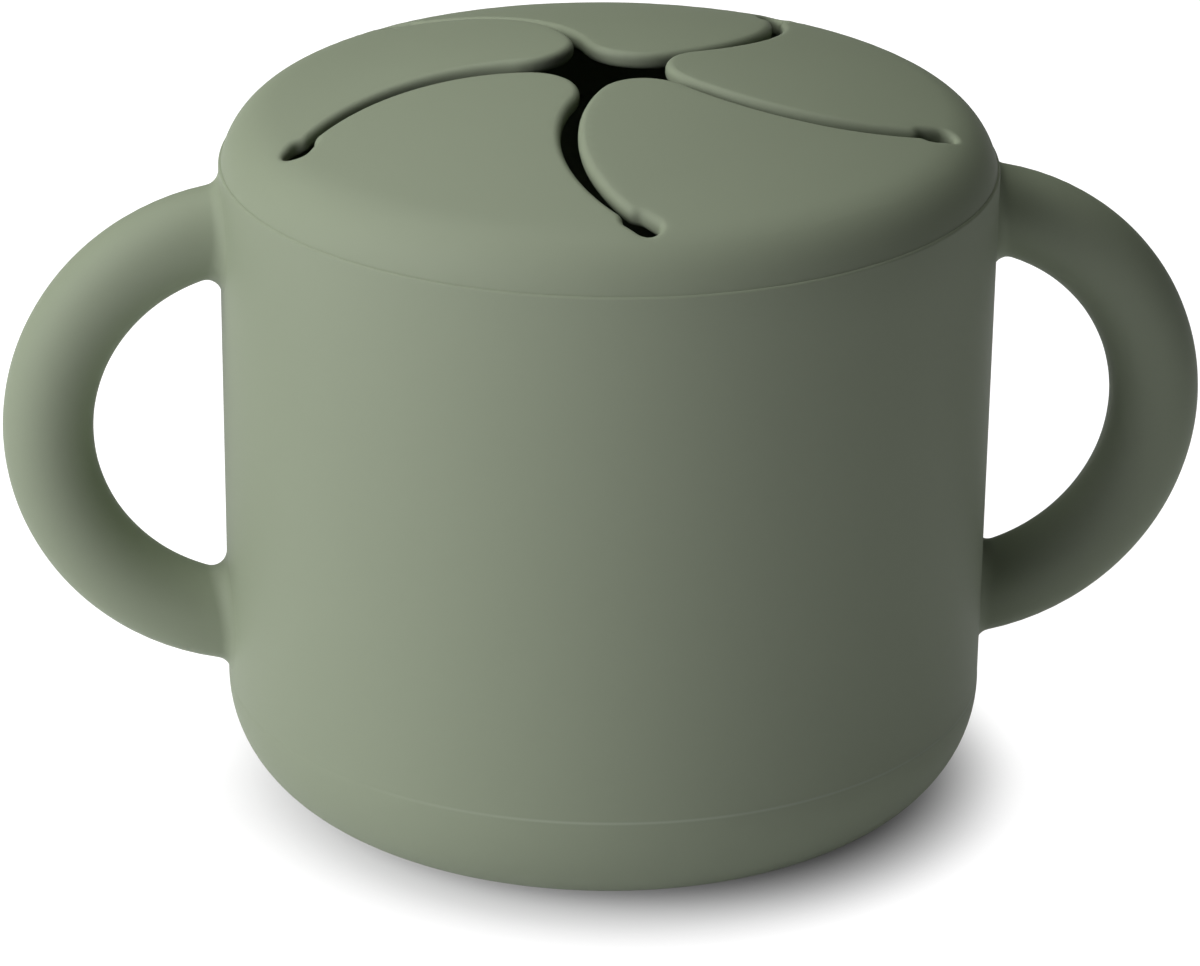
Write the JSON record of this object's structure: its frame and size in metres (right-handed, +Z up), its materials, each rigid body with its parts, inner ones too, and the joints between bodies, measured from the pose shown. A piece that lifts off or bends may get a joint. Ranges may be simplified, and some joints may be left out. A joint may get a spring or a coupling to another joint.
{
  "type": "toddler snack container",
  "caption": "Silicone snack cup with round ring handles and a press-on domed lid whose curved slits form soft flaps to reach in through.",
  "frame": {"origin": "centre of the flat base, on the cup's axis", "axes": "+Z up along the cup's axis, X through the two handles"},
  "size_m": [0.1408, 0.09, 0.0882],
  "materials": {
    "cup_silicone": "matte sage green silicone",
    "lid_silicone": "matte sage green silicone"
  },
  "bodies": {
    "cup": {"cup_body": "cup_silicone", "left_handle": "cup_silicone", "right_handle": "cup_silicone"},
    "lid": {"lid_ring": "lid_silicone"},
    "flap_1": {"flap_1": "lid_silicone"},
    "flap_2": {"flap_2": "lid_silicone"},
    "flap_3": {"flap_3": "lid_silicone"},
    "flap_4": {"flap_4": "lid_silicone"},
    "flap_5": {"flap_5": "lid_silicone"}
  },
  "joints": [
    {"name": "lid_lift", "type": "slide", "parent": "cup", "child": "lid", "axis": [0, 0, 1], "range_m": [0, 0.05]},
    {"name": "flap_1_bend", "type": "hinge", "parent": "lid", "child": "flap_1", "pos_m": [0.01623, -0.02336, 0.08373], "axis": [0.8211, 0.5707, 0], "range_deg": [-60, 25], "stiffness_Nm_per_rad": 0.05},
    {"name": "flap_2_bend", "type": "hinge", "parent": "lid", "child": "flap_2", "pos_m": [0.02723, 0.00822, 0.08373], "axis": [-0.289, 0.9573, 0], "range_deg": [-60, 25], "stiffness_Nm_per_rad": 0.05},
    {"name": "flap_3_bend", "type": "hinge", "parent": "lid", "child": "flap_3", "pos_m": [0.0006, 0.02844, 0.08373], "axis": [-0.9998, 0.0209, 0], "range_deg": [-60, 25], "stiffness_Nm_per_rad": 0.05},
    {"name": "flap_4_bend", "type": "hinge", "parent": "lid", "child": "flap_4", "pos_m": [-0.02686, 0.00935, 0.08373], "axis": [-0.3289, -0.9444, 0], "range_deg": [-60, 25], "stiffness_Nm_per_rad": 0.05},
    {"name": "flap_5_bend", "type": "hinge", "parent": "lid", "child": "flap_5", "pos_m": [-0.0172, -0.02266, 0.08373], "axis": [0.7965, -0.6046, 0], "range_deg": [-60, 25], "stiffness_Nm_per_rad": 0.05}
  ]
}
